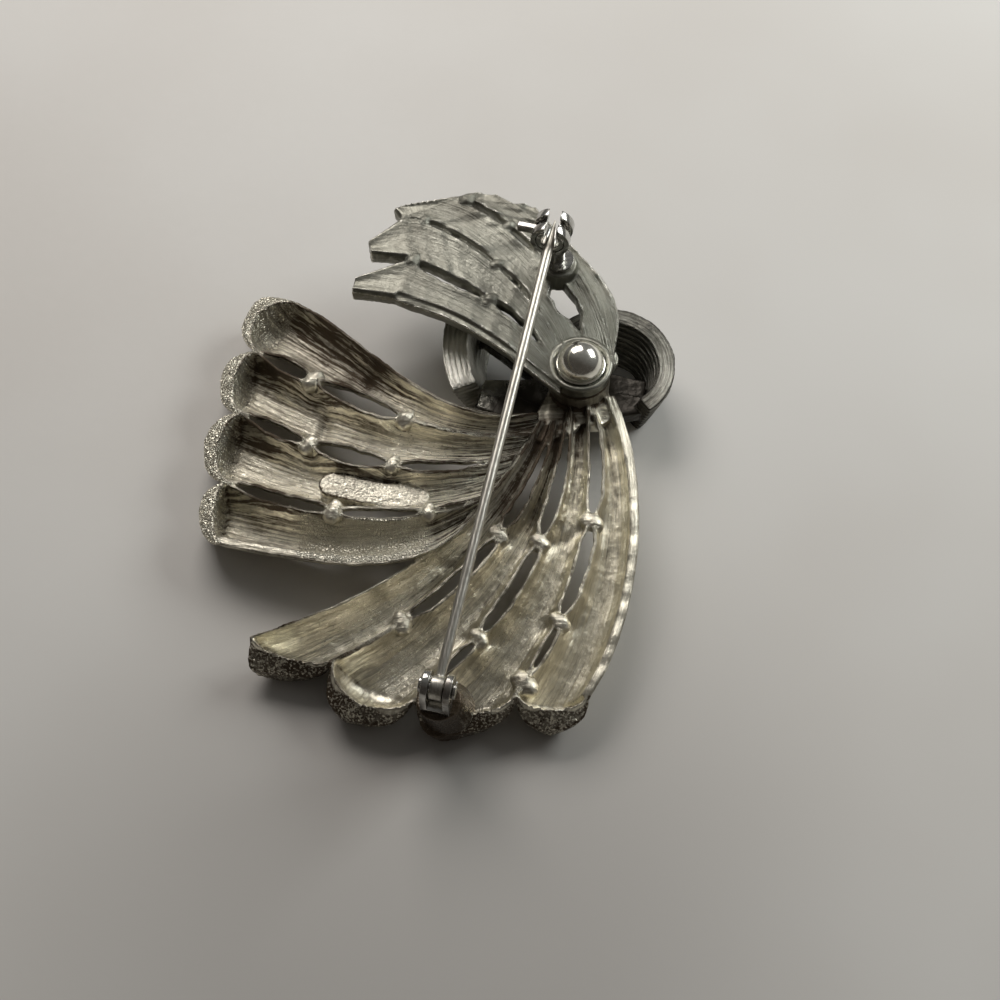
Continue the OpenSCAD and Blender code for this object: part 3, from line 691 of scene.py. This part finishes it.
def cast_finish(name, bright, grey, stain, stained, brush, rough, uneven):
    """Cast metal, brushed along its plumes: brown in hollows, creases and brush lines, pale where worn. It
    also paints shade on the left fan's north channel walls, a highlight on the upper spray's rubbed edges,
    and the knot's patches of painted shade and light.
    """
    cast = Finish(name)
    flow = cast.marks("flow")
    side, number = cast.parts(flow)[1:]
    inside, down, share = cast.parts(cast.marks("skin"))
    # The third mark sums the tarnish patches, and on the ribbon knot its painted shade and light
    edge, hollow, tarnish_and_painted_light = cast.parts(cast.marks("wear"))
    lower = cast.ramp(number, LOWER_FIRST - 0.6, LOWER_FIRST - 0.4)
    upper = cast.ramp(number, UPPER_FIRST - 1, UPPER_FIRST - 0.5) * cast.ramp(number, NUB - 0.5, NUB - 1)
    nub = cast.only(number, NUB)
    left = 1 - lower
    last = cast.ramp(number, 2.7, 3) * left + cast.ramp(number, 6.7, 7) * cast.ramp(number, 8, 7.5)
    across = cast.grain(cast.stretched(flow, (0.16, 11, 5)), 1, 5, 0.65)
    fine = cast.grain(cast.stretched(flow, (0.5, 20, 5)), 1, 3, 0.6)
    pits = cast.grain(cast.place(), 2400, 3, 0.6)
    spark = cast.grain(cast.place(), 4200, 3)
    grit = cast.grain(cast.place(), 1700, 3, 0.7)
    blotch = cast.grain(cast.place(), 240, 4, 0.6)
    crackle = cast.ramp(cast.cells(cast.place(), 3300) + (spark - 0.5) * 0.2, 0.0, 0.25)
    outer = cast.ramp(share, 0, -0.008) * cast.ramp(inside, 0.5, 0.3)
    lip = (cast.ramp(share, -0.005, -0.05) * cast.ramp(inside * down, 0.3, 0.05) + outer).capped() \
        * cast.ramp(number, 9, 8.5)
    grainy = (cast.ramp(number, 2.6, 2.9) * left * cast.ramp(share, 0.26, 0.33) * cast.ramp(share, 0.8, 0.72)
              * cast.ramp(side + (blotch - 0.5) * 0.6, -0.75, -0.5) * inside)
    boss = cast.only(number, BOSS)
    plate = cast.ramp(number, PLATE - 0.5, PLATE - 0.1)
    rugged = (lip + grainy + plate).capped()
    root = cast.ramp(share, 0.62, 0.8) * (left + 2 * upper)
    tip = cast.ramp(share, 0.02, -0.008)
    end_wall = tip * inside * left * (1 - lip)
    strokes = brush * (1 - 0.2 * lower) * (1 + root) * (1 - rugged) * (1 - 0.6 * tip)
    streak = cast.ramp(across, 0.56, 0.44) * strokes
    glint = cast.ramp(fine + 0.6 * across, 0.83, 0.96) * strokes
    ridge = cast.ramp(edge + (grit - 0.5) * 0.06, -0.02, -0.055)
    shiny = (lip * left + upper + 0.5 * nub + 0.2 * last * cast.ramp(side, 0.75, 0.9)
             + lip * cast.ramp(inside, 0.6, 0.9)).capped()
    worn = ridge * shiny
    nook = cast.ramp(hollow + (blotch - 0.5) * 0.16, 0.05, 0.27)
    crease = cast.ramp(edge + (grit - 0.5) * 0.03, 0.02, 0.06)
    # Painted shade: the north walls of the left fan's channels face away from the lamps and are painted
    # darker
    far_wall_shade = cast.ramp(side, 0.1, -0.75) * cast.ramp(inside, 0.6, 0.9) * cast.ramp(share, 0.8, 0.4) * left
    # Brown patina in hollows and creases, tarnish patches and brush streaks, plus painted shade on the far
    # channel walls and the knot's painted shade and light
    soil_and_shade = (0.4 * nook + 0.35 * crease + tarnish_and_painted_light + far_wall_shade * (0.25 + 0.4 * streak)
              + (0.36 - 0.12 * lower) * streak)
    patchy = (blotch - 0.5) * uneven + (grit - 0.5) * 0.7
    edges = 0.6 * ridge * (1 - shiny) - 0.2 * glint - 0.3 * worn
    lips = (lip * lower * (0.85 - 0.8 * cast.ramp(spark + 0.4 * grit, 0.7, 0.82))
            + 0.4 * lip * left * (1 - crackle) + 0.12 * end_wall * (1.5 - 2.4 * crackle))
    # Bosses are darker; the knot's strap shares their number, and there the darkening is painted shade under
    # the hub
    lumps = grainy * (0.05 - 0.7 * crackle) + plate * (0.62 + 1.3 * (spark - 0.5)) + 0.25 * nub + 0.6 * boss
    fans = (0.4 * upper * cast.ramp(share, 0.4, 0.02) - 0.17 * lower * (1 - lip)
            + 0.2 * last * lower * cast.ramp(side, 0.8, 0.9))
    dark = (stained * soil_and_shade + patchy + edges + lips + lumps + fans).capped()
    lines = 0.5 + (across * 0.6 + fine * 0.4 - 0.5) * brush
    colour = cast.mixed(cast.ramp(lines, 0.36, 0.6), grey, bright)
    colour = cast.mixed((worn + 0.4 * glint + 0.3 * lip * left * crackle).capped(), colour, bright)
    colour = cast.mixed(dark, colour, stain)
    # Partly wear and partly a painted highlight on the upper spray's rubbed edges, and painted side light on
    # the knot's left strip, whose patch is under -0.7
    painted_gleam = (0.7 * worn * upper + cast.ramp(tarnish_and_painted_light, -0.7, -1.7)).capped()
    colour = cast.mixed(painted_gleam, colour, PAINTED_GLEAM)
    height = ((across * 1.2 + fine * 0.3) * strokes + pits * 0.25
              + (lip * left + 2 * grainy + 0.4 * end_wall) * crackle * 0.9
              + (lip + plate + 0.6 * nub) * grit * 1.2)
    duller = 0.14 * dark + 0.12 * (spark - 0.5) + 0.16 * grainy + 0.1 * nub + 0.1 * last * lower
    glossier = (0.05 + 0.1 * upper) * worn + 0.15 * boss
    return cast.surface({
        "Base Color": colour,
        "Metallic": 1 - 0.45 * dark - 0.4 * grainy,
        "Roughness": rough + duller - glossier,
        "Normal": cast.bump(height, 0.9, 0.0002),
    })


main_casting.data.materials.clear()
main_casting.data.materials.append(cast_finish("cast_metal", CAST_BRIGHT, CAST_GREY, CAST_STAIN, 1, 1, 0.29,
                                               0.5))
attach(main_casting, "brooch")
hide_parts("main_casting")


# Upper spray: five flatter plumes with squared ends, cast on their own in a paler satin alloy, and
# stacked on the hub by their root. A boss on the back takes the catch's solder.
UPPER_SLOT = 0.75
UPPER_RIDGES = [
    (4.5, 30.5, 8, 25, 13.5, 21.5, 11.5, 14),
    (1.5, 32, 7, 27.5, 11, 20, 11.5, 12.5),
    (-4.5, 33, 2, 30, 7, 22.5, 8.5, 15),
    (-10.5, 30, -5, 31, 5.5, 19.5, 6.5, 13.5),
    (-9.5, 25, -2, 20, 1, 20.5, 6, 12),
    (-10.5, 20, -4, 18.5, 1, 14, 6, 9.5),
]
UPPER_TIPS = [(0.5, 0.5, 0.5, 0), (0.8, 0.5, 0.4, 0), (1.5, 1, 0.15, 0), (3.7, 0.6, 0.33, 0),
              (4.8, 1, 0.35, 0)]
UPPER_HEIGHTS = [(10.5, 10.2, 9.5), (2.4, 2.2, 1.6), (0.3, 0.35, 0.4)]
UPPER_OPEN = [
    (0, 0, 0, 0, 0, 0, 0, 0, 0, 0, 0), (0, 1.2, 1.2, 0.6, 1, 0, 0.3, 2.9, 2.4, 0.8, 0),
    (0, 0, 0.5, 0.6, 0.5, 0.3, 0.6, 0.3, 0, 0, 0), (0, 1, 1, 1, 0.6, 0.2, 1.1, 0.7, 0.9, 0, 0),
]
UPPER_NUBS = [(4, 0.02, 0.9), (4, 0.48, 0.9), (3, 0.14, 0.7), (3, 0.5, 0.8), (2, 0.05, 1), (2, 0.3, 0.7)]
UPPER_WALL = 0.12
UPPER_DROP = 0.25
UPPER_OUTSIDE = [(-1, 0.16), (-1, 0.4), (-0.94, 0.7), (-0.6, 0.96), (0, 1), (0.6, 0.96), (0.94, 0.7),
                 (1, 0.4), (1, 0.16)]
DISHED = [(1, 1), (0.95, 0.35), (0.84, 0), (0.6, 0.25), (0.3, 0.55), (0, 0.65), (-0.3, 0.55), (-0.6, 0.25),
          (-0.84, 0), (-0.95, 0.35), (-1, 1)]
SPRAY_SEAT = 7.9
SPRAY_T = 1.4
SPRAY_WEB = (10.6, 13.6, 1.4)
SPRAY_WEB_T = 1
COLLAR_R = 2.95
COLLAR_WIRE = 0.32
CATCH_BOSS = [(6.1, 24, 1.8, 10.9), (6.1, 24, 1.8, 10.5), (6.1, 24, 2.2, 9.3), (6.1, 24, 2.2, 8.9)]
UPPER_TARNISH = [(7.5, 20.5, 2.6, 0.5), (2.5, 16.5, 2, 0.35), (8.1, 12.6, 3.2, 0.3), (-3, 31, 1.6, 0.4),
                 (2, 20, 3, 0.3)]
UPPER_FORMS = (eased(UPPER_OUTSIDE), eased(DISHED), UPPER_WALL)
bm, marks = new_shell()
spray(bm, marks, UPPER_RIDGES, UPPER_TIPS, UPPER_SLOT, UPPER_OPEN, UPPER_HEIGHTS, UPPER_FIRST, [],
      UPPER_FORMS, UPPER_DROP)
nubs(bm, marks, UPPER_RIDGES, UPPER_NUBS, UPPER_HEIGHTS)
hulled(bm, marks, [(*RIVET_AT, HUB_R, SPRAY_SEAT), (*RIVET_AT, HUB_R, SPRAY_SEAT + SPRAY_T)])
hulled(bm, marks, CATCH_BOSS)
beside = Matrix.Translation((RIVET_AT[0] + COLLAR_R, RIVET_AT[1], SPRAY_SEAT + SPRAY_T))
collar = bmesh.ops.create_circle(bm, segments=16, radius=COLLAR_WIRE,
                                 matrix=beside @ Matrix.Rotation(math.pi / 2, 4, "X"))["verts"]
loop = {e for v in collar for e in v.link_edges}
bmesh.ops.spin(bm, geom=list(collar) + list(loop), cent=(*RIVET_AT, 0), axis=(0, 0, 1),
               angle=2 * math.pi, steps=48, use_merge=True)
mark_plain(marks, [v for v in bm.verts if v[marks["flow"]].length == 0], COLLAR)
hulled(bm, marks, [(*RIVET_AT, WEB_R, SPRAY_SEAT), (*RIVET_AT, WEB_R, SPRAY_SEAT + SPRAY_WEB_T),
                   (*SPRAY_WEB, SPRAY_SEAT), (*SPRAY_WEB, SPRAY_SEAT + SPRAY_WEB_T)])
upper_spray = settle(bm, "upper_spray_casting", 0.12, SMALL_BUDGET, casting_wobble,
                     UPPER_TARNISH)
upper_spray.data.materials.clear()
upper_spray.data.materials.append(cast_finish("satin_cast", (0.34, 0.337, 0.29, 1), (0.26, 0.257, 0.215, 1),
                                              (0.06, 0.048, 0.03, 1), 0.8, 0.5, 0.38, 0.12))
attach(upper_spray, "brooch")
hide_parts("upper_spray")


# Ribbon knot: two bands bent on edge round a flat strap, cast in one and held between the hub and
# the rivet's head. Their back edges are smooth, and their faces ribbed along the ribbon.
STRAP_TOP = 3.8
STRAP_T = 1.6
STRAP = [(-2.6, 11), (1, 9.5), (8, 9.2), (14.4, 10.2), (15.2, 14), (10.5, 15.4), (4.5, 18), (-2, 22.4),
         (-3.6, 20.6), (3.6, 14.3), (-1.6, 14.3)]
# One row a band: centre, first and last angle, radius, how far its foot leans in
RIBBONS = [(11.2, 14.8, -54, 170, 6.8, 1.5), (8.2, 17.2, 160, 203, 14.1, 2)]
RIBBON_H = 6
RIBBON_W = 1.6
STRIP_EXTRA = 0.9
BAND_WAVES = [(0.6, 0.06), (2, 0.03)]
# How far apart the ribs are and how high, on the bands' walls and on top of the strip
RIBS = 0.72
RIB_RISE = 0.07
FINE_RIBS = 0.5
FINE_RISE = 0.09
# Painted shade and light on the knot, one row a patch as in the tarnish tables: the three dark patches paint
# the shade under the hub and plumes, and the negative one paints the left strip pale as if lit from the side
KNOT_PAINTED_SHADE_AND_LIGHT = [(6, 14, 8, 0.6), (12, 12.5, 3.5, 0.8), (1, 11, 3, 0.9), (-4.4, 15, 4.2, -2)]


def ribbon(bm, marks, x, y, start, end, radius, lean, number):
    """A band bent on edge along an arc. Its number is 0 for the loop and 1 for the wider strip."""
    width = RIBBON_W + STRIP_EXTRA * number
    profile = [(radius - width, RIBBON_H), (radius, RIBBON_H), (radius, RIBBON_H - 0.5),
               (radius - lean, 0), (radius - lean - width, 0)]
    turn = Matrix.Translation((x, y, 0)) @ Matrix.Rotation(math.radians(start), 4, "Z")
    corners = [bm.verts.new(turn @ Vector((r, 0, z))) for r, z in profile]
    edges = [bm.edges.new((corners[k - 1], corners[k])) for k in range(len(corners))]
    before = set(bm.verts)
    bmesh.ops.spin(bm, geom=corners + edges, cent=(x, y, 0), axis=(0, 0, 1),
                   angle=math.radians(end - start), steps=60)
    made = [v for v in bm.verts if v not in before] + corners
    for v in made:
        turned = (math.atan2(v.co.y - y, v.co.x - x) - math.radians(start) + 0.1) % (2 * math.pi)
        v[marks["flow"]] = (turned * radius, (v.co.z + math.hypot(v.co.x - x, v.co.y - y)) / 3, number)
        v[marks["skin"]] = (1, max(ramp01(1 - v.co.z / RIBBON_H), 0.3 * number), 0.5)
    open_edges = [e for e in bm.edges if e.is_boundary]
    bmesh.ops.holes_fill(bm, edges=open_edges, sides=0)


def ribbon_wobble(mesh, co, flow, skin):
    """Soft waves all over, ribs round the bands' walls, and finer ribs on top of the strip."""
    normal = normals_of(mesh)
    lift = np.zeros(len(co), np.float32)
    for i in range(len(co)):
        p = Vector(co[i].tolist())
        lift[i] = waves(BAND_WAVES, p)
        if abs(normal[i][2]) < 0.5 and flow[i][2] < 5:
            bent = p.z + 0.15 * noise.noise((flow[i][0] * 0.4, 0, flow[i][2]))
            lift[i] += RIB_RISE * math.sin(2 * math.pi * bent / RIBS)
        elif 0.5 < flow[i][2] < 5 and normal[i][2] > 0.5:
            reach = 3 * flow[i][1] - p.z + 0.1 * noise.noise((flow[i][0] * 0.5, 0, 4))
            lift[i] += FINE_RISE * math.sin(2 * math.pi * reach / FINE_RIBS)
    return co + normal * lift[:, None]


bm, marks = new_shell()
for number, row in enumerate(RIBBONS):
    ribbon(bm, marks, *row, number)
outline = [bm.verts.new((x, y, STRAP_TOP - STRAP_T)) for x, y in STRAP]
strap = bm.faces.new(outline)
lifted = bmesh.ops.extrude_face_region(bm, geom=[strap])["geom"]
bmesh.ops.translate(bm, vec=(0, 0, STRAP_T), verts=[g for g in lifted if isinstance(g, bmesh.types.BMVert)])
mark_plain(marks, outline + [g for g in lifted if isinstance(g, bmesh.types.BMVert)], BOSS)
ribbon_knot = settle(bm, "ribbon_knot_casting", 0.12, SMALL_BUDGET, ribbon_wobble,
                     KNOT_PAINTED_SHADE_AND_LIGHT)
ribbon_knot.data.materials.clear()
ribbon_knot.data.materials.append(cast_finish("ribbon_metal", (0.31, 0.303, 0.265, 1), (0.17, 0.165, 0.14, 1),
                                              (0.03, 0.025, 0.018, 1), 0.9, 0.9, 0.31, 0.3))
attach(ribbon_knot, "brooch")
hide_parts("ribbon_knot")


# Centre rivet: a turned steel rivet with a mirror-polished dome behind, which clamps the upper spray
# and the ribbon knot to the hub. Its front head is flat and plain.
DOME_R = 2.35
DOME_FOOT = 9.6
# The rivet's side from its dome to its front head, one row a point: radius, height
RIVET_SIDE = [(2.41, 9.61), (2.48, 9.57), (2.5, 9.5), (2.48, 9.43), (2.42, 9.4), (1, 9.4), (1, 2.1),
              (1.72, 2.1), (1.79, 2.06), (1.8, 1.98), (1.8, 1.52), (1.77, 1.44), (1.7, 1.4), (0, 1.4)]
DOME_STEPS = 20


def turned(name, profile, x, y):
    """A lathe-turned piece: a profile of radius and height, spun once round."""
    bm = bmesh.new()
    corners = [bm.verts.new((x + r, y, z)) for r, z in profile]
    edges = [bm.edges.new(pair) for pair in zip(corners, corners[1:])]
    bmesh.ops.spin(bm, geom=corners + edges, cent=(x, y, 0), axis=(0, 0, 1), angle=2 * math.pi, steps=72,
                   use_merge=True)
    bmesh.ops.remove_doubles(bm, verts=bm.verts, dist=1e-4)
    bmesh.ops.recalc_face_normals(bm, faces=bm.faces)
    return shown(bm, name)


def shown(bm, name):
    """Links a shell built in drawing millimetres as a piece in the frame, smooth but for its edges."""
    mesh = bpy.data.meshes.new(name)
    bm.to_mesh(mesh)
    bm.free()
    mesh.transform(Matrix.Scale(MM, 4) @ Matrix.Translation((-CENTRE.x, -CENTRE.y, 0)))
    for face in mesh.polygons:
        face.use_smooth = True
    mesh.set_sharp_from_angle(angle=math.radians(38))
    return link(name, mesh)


ROUND_GRAIN = (1500, 2600, 1500)
BROWN = (0.08, 0.055, 0.035, 1)


def polished_finish(name, bright, dull, roughness, stained, grain):
    """Plated or polished metal: hair scratches, small dents and a little brown in cloudy patches."""
    metal = Finish(name)
    place = metal.place()
    hairs = metal.grain(metal.stretched(place, grain), 1, 3, 0.6)
    cloud = metal.grain(place, 420, 4, 0.6)
    dents = metal.grain(place, 1100, 2)
    stain = (metal.ramp(cloud, 0.5, 0.75) * stained).capped()
    colour = metal.mixed(metal.ramp(hairs, 0.35, 0.7), dull, bright)
    colour = metal.mixed(stain, colour, BROWN)
    return metal.surface({
        "Base Color": colour,
        "Metallic": 1 - 0.3 * stain,
        "Roughness": roughness + 0.1 * hairs + 0.25 * stain,
        "Normal": metal.bump(hairs * 0.3 + dents, 0.25, 0.00006),
    })


slopes = [math.pi / 2 * k / DOME_STEPS for k in range(DOME_STEPS + 1)]
dome = [(DOME_R * math.sin(slope), DOME_FOOT + DOME_R * math.cos(slope)) for slope in slopes]
rivet = turned("rivet", dome + RIVET_SIDE, *RIVET_AT)
rivet.data.materials.append(polished_finish("polished", (0.95, 0.93, 0.85, 1), (0.84, 0.82, 0.74, 1), 0.1,
                                            0.15, ROUND_GRAIN))
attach(rivet, "brooch")
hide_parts("centre_rivet")


# Hinge bracket: two ears and a foot, stamped and bent in nickel-plated brass with tumbled edges, and
# soldered on the boss at the lower spray's end.
SHARP = math.radians(35)
SMOOTHED = math.radians(50)
FLAT = math.radians(0.6)
EDGE = 0.12
FINE_EDGE = 0.06


def tumbled(node, name, edge, finish):
    """A finding's packed form with its edges rounded, as tumbling leaves them."""
    bm = bmesh.new()
    bm.from_mesh(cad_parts[node].data)
    bmesh.ops.remove_doubles(bm, verts=bm.verts, dist=1e-6)
    bmesh.ops.dissolve_limit(bm, angle_limit=FLAT, verts=bm.verts, edges=bm.edges)
    hard = [e for e in bm.edges if e.is_manifold and e.calc_face_angle() > SHARP]
    bmesh.ops.bevel(bm, geom=hard, offset=edge * MM, segments=3, profile=0.5, affect="EDGES",
                    clamp_overlap=True, material=-1)
    bmesh.ops.recalc_face_normals(bm, faces=bm.faces)
    mesh = bpy.data.meshes.new(name)
    bm.to_mesh(mesh)
    bm.free()
    for face in mesh.polygons:
        face.use_smooth = True
    mesh.set_sharp_from_angle(angle=SMOOTHED)
    piece = link(name, mesh)
    piece.data.materials.append(finish)
    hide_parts(node)
    return piece


nickel = polished_finish("nickel", (0.62, 0.61, 0.58, 1), (0.46, 0.45, 0.42, 1), 0.1, 0.7, ROUND_GRAIN)
ears = tumbled("hinge_bracket", "hinge_ears", EDGE, nickel)
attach(ears, "brooch")


# Hinge pin: a short rivet of the same nickel-plated brass, headed at both ends, that runs through the
# two ears and the stem's knuckle.
hinge_rivet = tumbled("hinge_pin", "hinge_rivet_pin", FINE_EDGE, nickel)
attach(hinge_rivet, "brooch")


# Catch barrel: the open ring of the safety catch on its post, turned in nickel-plated brass and
# soldered on the upper spray's boss.
barrel = tumbled("catch_housing", "catch_barrel", EDGE, nickel)
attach(barrel, "brooch")


# Catch roller: the slotted sleeve with its lever tab, nickel-plated too, that turns inside the barrel
# and locks the stem in.
sleeve = tumbled("catch_roller", "catch_roller_tab", EDGE, nickel)
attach(sleeve, "roller")


# Pin stem: hard drawn steel wire with a pressed knuckle at the hinge and a ground point. It swings on
# the hinge pin.
DRAWN_GRAIN = (5200, 260, 5200)
stem = tumbled("pin_stem", "stem_wire", FINE_EDGE,
               polished_finish("wire", (0.62, 0.6, 0.54, 1), (0.42, 0.4, 0.35, 1), 0.28, 0.3, DRAWN_GRAIN))
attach(stem, "stem")
